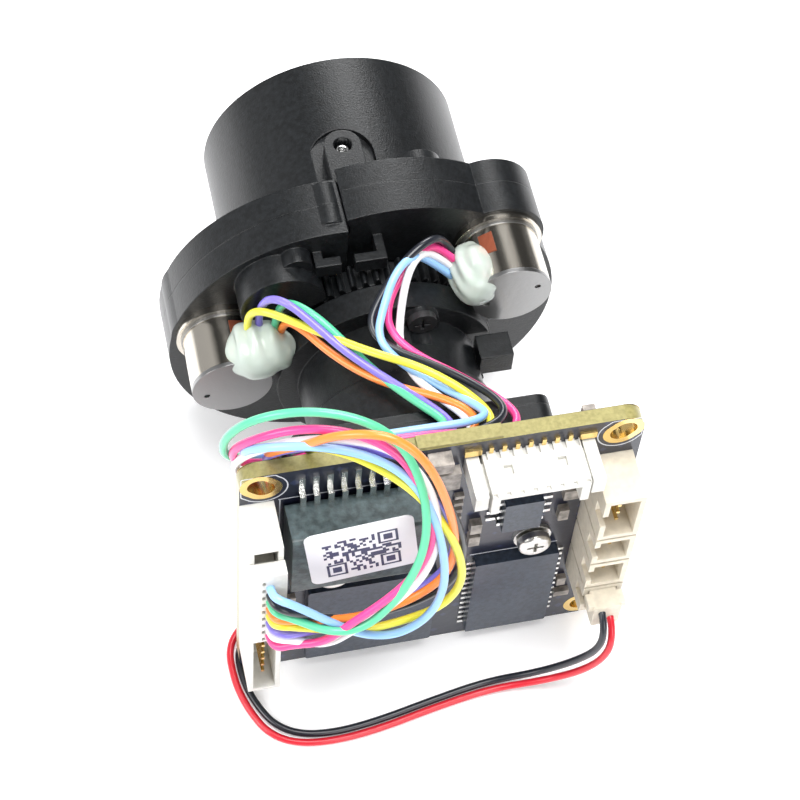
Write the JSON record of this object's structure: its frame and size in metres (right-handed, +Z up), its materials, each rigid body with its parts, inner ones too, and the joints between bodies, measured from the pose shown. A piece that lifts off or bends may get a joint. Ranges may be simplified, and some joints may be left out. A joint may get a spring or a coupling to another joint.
{
  "type": "network camera module with motorised zoom lens",
  "caption": "Square camera board carrying a varifocal lens whose zoom and focus cam rings are turned through gears by small stepper motors wired back to the board.",
  "frame": {"origin": "centre of the camera board, on its component face", "axes": "+Y forward along the optical axis (board to front lens); +Z up towards the board edge with the two slotted holes; +X right seen from behind the board"},
  "size_m": [0.0407, 0.0615, 0.0484],
  "materials": {
    "board_mask": "dark blue-black solder mask, semi-gloss, yellow glass-fibre edge",
    "black_moulding": "fine spark-eroded black plastic",
    "chip_black": "smooth moulded chip body",
    "transformer_case": "dark grey speckled moulding",
    "tin": "tinned leads",
    "label_paper": "white printed label",
    "ceramic": "small chip parts",
    "connector_white": "white nylon",
    "connector_cream": "cream nylon",
    "gold": "thin gold plating",
    "sensor": "dark ceramic package with a cover glass",
    "screw_steel": "plated screws",
    "screw_black": "blackened screw",
    "ir_glass": "infrared-cut filter in a thin plastic frame",
    "lens_glass": "coated lenses",
    "magnet": "bonded magnet on a steel shaft",
    "copper": "enamelled copper windings",
    "motor_steel": "nickel-plated motor can",
    "motor_end": "grey motor end plate",
    "gear_white": "acetal gears",
    "spring_steel": "bright wire",
    "glue": "translucent hot glue",
    "wire_yellow": "insulation",
    "wire_purple": "insulation",
    "wire_green": "insulation",
    "wire_orange": "insulation",
    "wire_white": "insulation",
    "wire_light_blue": "insulation",
    "wire_pink": "insulation",
    "wire_black": "insulation",
    "wire_red": "insulation"
  },
  "bodies": {
    "housing": {"barcode_label": "label_paper", "black_lead": "wire_black", "boss_spring": "spring_steel", "chip_leads": "tin", "filter_coil": "copper", "filter_lead_black": "wire_black", "filter_lead_red": "wire_red", "filter_plug": "connector_cream", "focus_motor_can": "motor_steel", "front_barrel": "black_moulding", "gear_pins": "spring_steel", "glue_beads": "glue", "green_lead": "wire_green", "guide_tube": "black_moulding", "header_pins": "gold", "housing_screws": "screw_black", "image_sensor": "sensor", "left_gearcase_front": "black_moulding", "left_gearcase_rear": "black_moulding", "lens_mount": "black_moulding", "light_blue_lead": "wire_light_blue", "main_board": "board_mask", "memory_chip": "chip_black", "motor_caps": "motor_end", "motor_coils": "copper", "motor_header": "connector_white", "motor_plug": "connector_white", "mount_cover": "black_moulding", "mount_screws": "screw_steel", "orange_lead": "wire_orange", "passives": "ceramic", "pink_lead": "wire_pink", "processor_chip": "chip_black", "purple_lead": "wire_purple", "rear_barrel": "black_moulding", "regulator_chip": "chip_black", "right_gearcase_front": "black_moulding", "right_gearcase_rear": "black_moulding", "side_headers": "connector_cream", "top_header": "connector_white", "transformer_body": "transformer_case", "white_lead": "wire_white", "yellow_lead": "wire_yellow", "zoom_motor_can": "motor_steel"},
    "zoom_ring": {"zoom_ring": "black_moulding"},
    "zoom_group": {"zoom_cell": "black_moulding", "zoom_lenses": "lens_glass"},
    "focus_ring": {"focus_ring": "black_moulding"},
    "focus_group": {"focus_cell": "black_moulding", "front_lenses": "lens_glass", "front_lens_ring": "black_moulding"},
    "zoom_rotor": {"zoom_motor_rotor": "magnet"},
    "zoom_first": {"zoom_first_gear": "gear_white"},
    "zoom_output": {"zoom_output_gear": "gear_white"},
    "focus_rotor": {"focus_motor_rotor": "magnet"},
    "focus_first": {"focus_first_gear": "gear_white"},
    "focus_output": {"focus_output_gear": "gear_white"},
    "filter_blade": {"filter_blade": "black_moulding", "filter_glass": "ir_glass"},
    "filter_lever": {"filter_lever": "magnet"}
  },
  "joints": [
    {"name": "zoom_ring_turn", "type": "hinge", "parent": "housing", "child": "zoom_ring", "pos_m": [0, 0.022, 0], "axis": [0, -1, 0], "range_deg": [0, 110]},
    {"name": "zoom_group_slide", "type": "slide", "parent": "housing", "child": "zoom_group", "axis": [0, 1, 0], "range_m": [0, 0.005]},
    {"name": "zoom_output_turn", "type": "hinge", "parent": "housing", "child": "zoom_output", "pos_m": [-0.01024, 0.027, 0.00955], "axis": [0, -1, 0], "range_deg": [-371.25, 0]},
    {"name": "zoom_first_turn", "type": "hinge", "parent": "housing", "child": "zoom_first", "pos_m": [-0.01192, 0.03, 0.00473], "axis": [0, -1, 0], "range_deg": [0, 891]},
    {"name": "zoom_rotor_turn", "type": "hinge", "parent": "housing", "child": "zoom_rotor", "pos_m": [-0.016, 0.025, 0.0022], "axis": [0, -1, 0], "range_deg": [-1960.2, 0]},
    {"name": "focus_ring_turn", "type": "hinge", "parent": "housing", "child": "focus_ring", "pos_m": [0, 0.035, 0], "axis": [0, -1, 0], "range_deg": [0, 120]},
    {"name": "focus_group_slide", "type": "slide", "parent": "housing", "child": "focus_group", "axis": [0, 1, 0], "range_m": [0, 0.0024]},
    {"name": "focus_output_turn", "type": "hinge", "parent": "housing", "child": "focus_output", "pos_m": [0.014, 0.032, 0.00024], "axis": [0, -1, 0], "range_deg": [-405, 0]},
    {"name": "focus_first_turn", "type": "hinge", "parent": "housing", "child": "focus_first", "pos_m": [0.01179, 0.031, 0.00484], "axis": [0, -1, 0], "range_deg": [0, 972]},
    {"name": "focus_rotor_turn", "type": "hinge", "parent": "housing", "child": "focus_rotor", "pos_m": [0.0124, 0.026, 0.0096], "axis": [0, -1, 0], "range_deg": [-2138.4, 0]},
    {"name": "filter_lever_swing", "type": "hinge", "parent": "housing", "child": "filter_lever", "pos_m": [-0.0092, 0.006, 0.00672], "axis": [0, -1, 0], "range_deg": [0, 68]},
    {"name": "filter_blade_slide", "type": "slide", "parent": "housing", "child": "filter_blade", "axis": [0, 0, 1], "range_m": [0, 0.00705]}
  ],
  "couplings": [
    {"joint": "zoom_ring_turn", "follows": "zoom_group_slide", "rad_per_m": 383.97},
    {"joint": "zoom_output_turn", "follows": "zoom_group_slide", "rad_per_m": -1295.9},
    {"joint": "zoom_first_turn", "follows": "zoom_group_slide", "rad_per_m": 3110.2},
    {"joint": "zoom_rotor_turn", "follows": "zoom_group_slide", "rad_per_m": -6842.4},
    {"joint": "focus_ring_turn", "follows": "focus_group_slide", "rad_per_m": 872.66},
    {"joint": "focus_output_turn", "follows": "focus_group_slide", "rad_per_m": -2945.2},
    {"joint": "focus_first_turn", "follows": "focus_group_slide", "rad_per_m": 7068.6},
    {"joint": "focus_rotor_turn", "follows": "focus_group_slide", "rad_per_m": -15551},
    {"joint": "filter_lever_swing", "follows": "filter_blade_slide", "rad_per_m": 168.42}
  ]
}
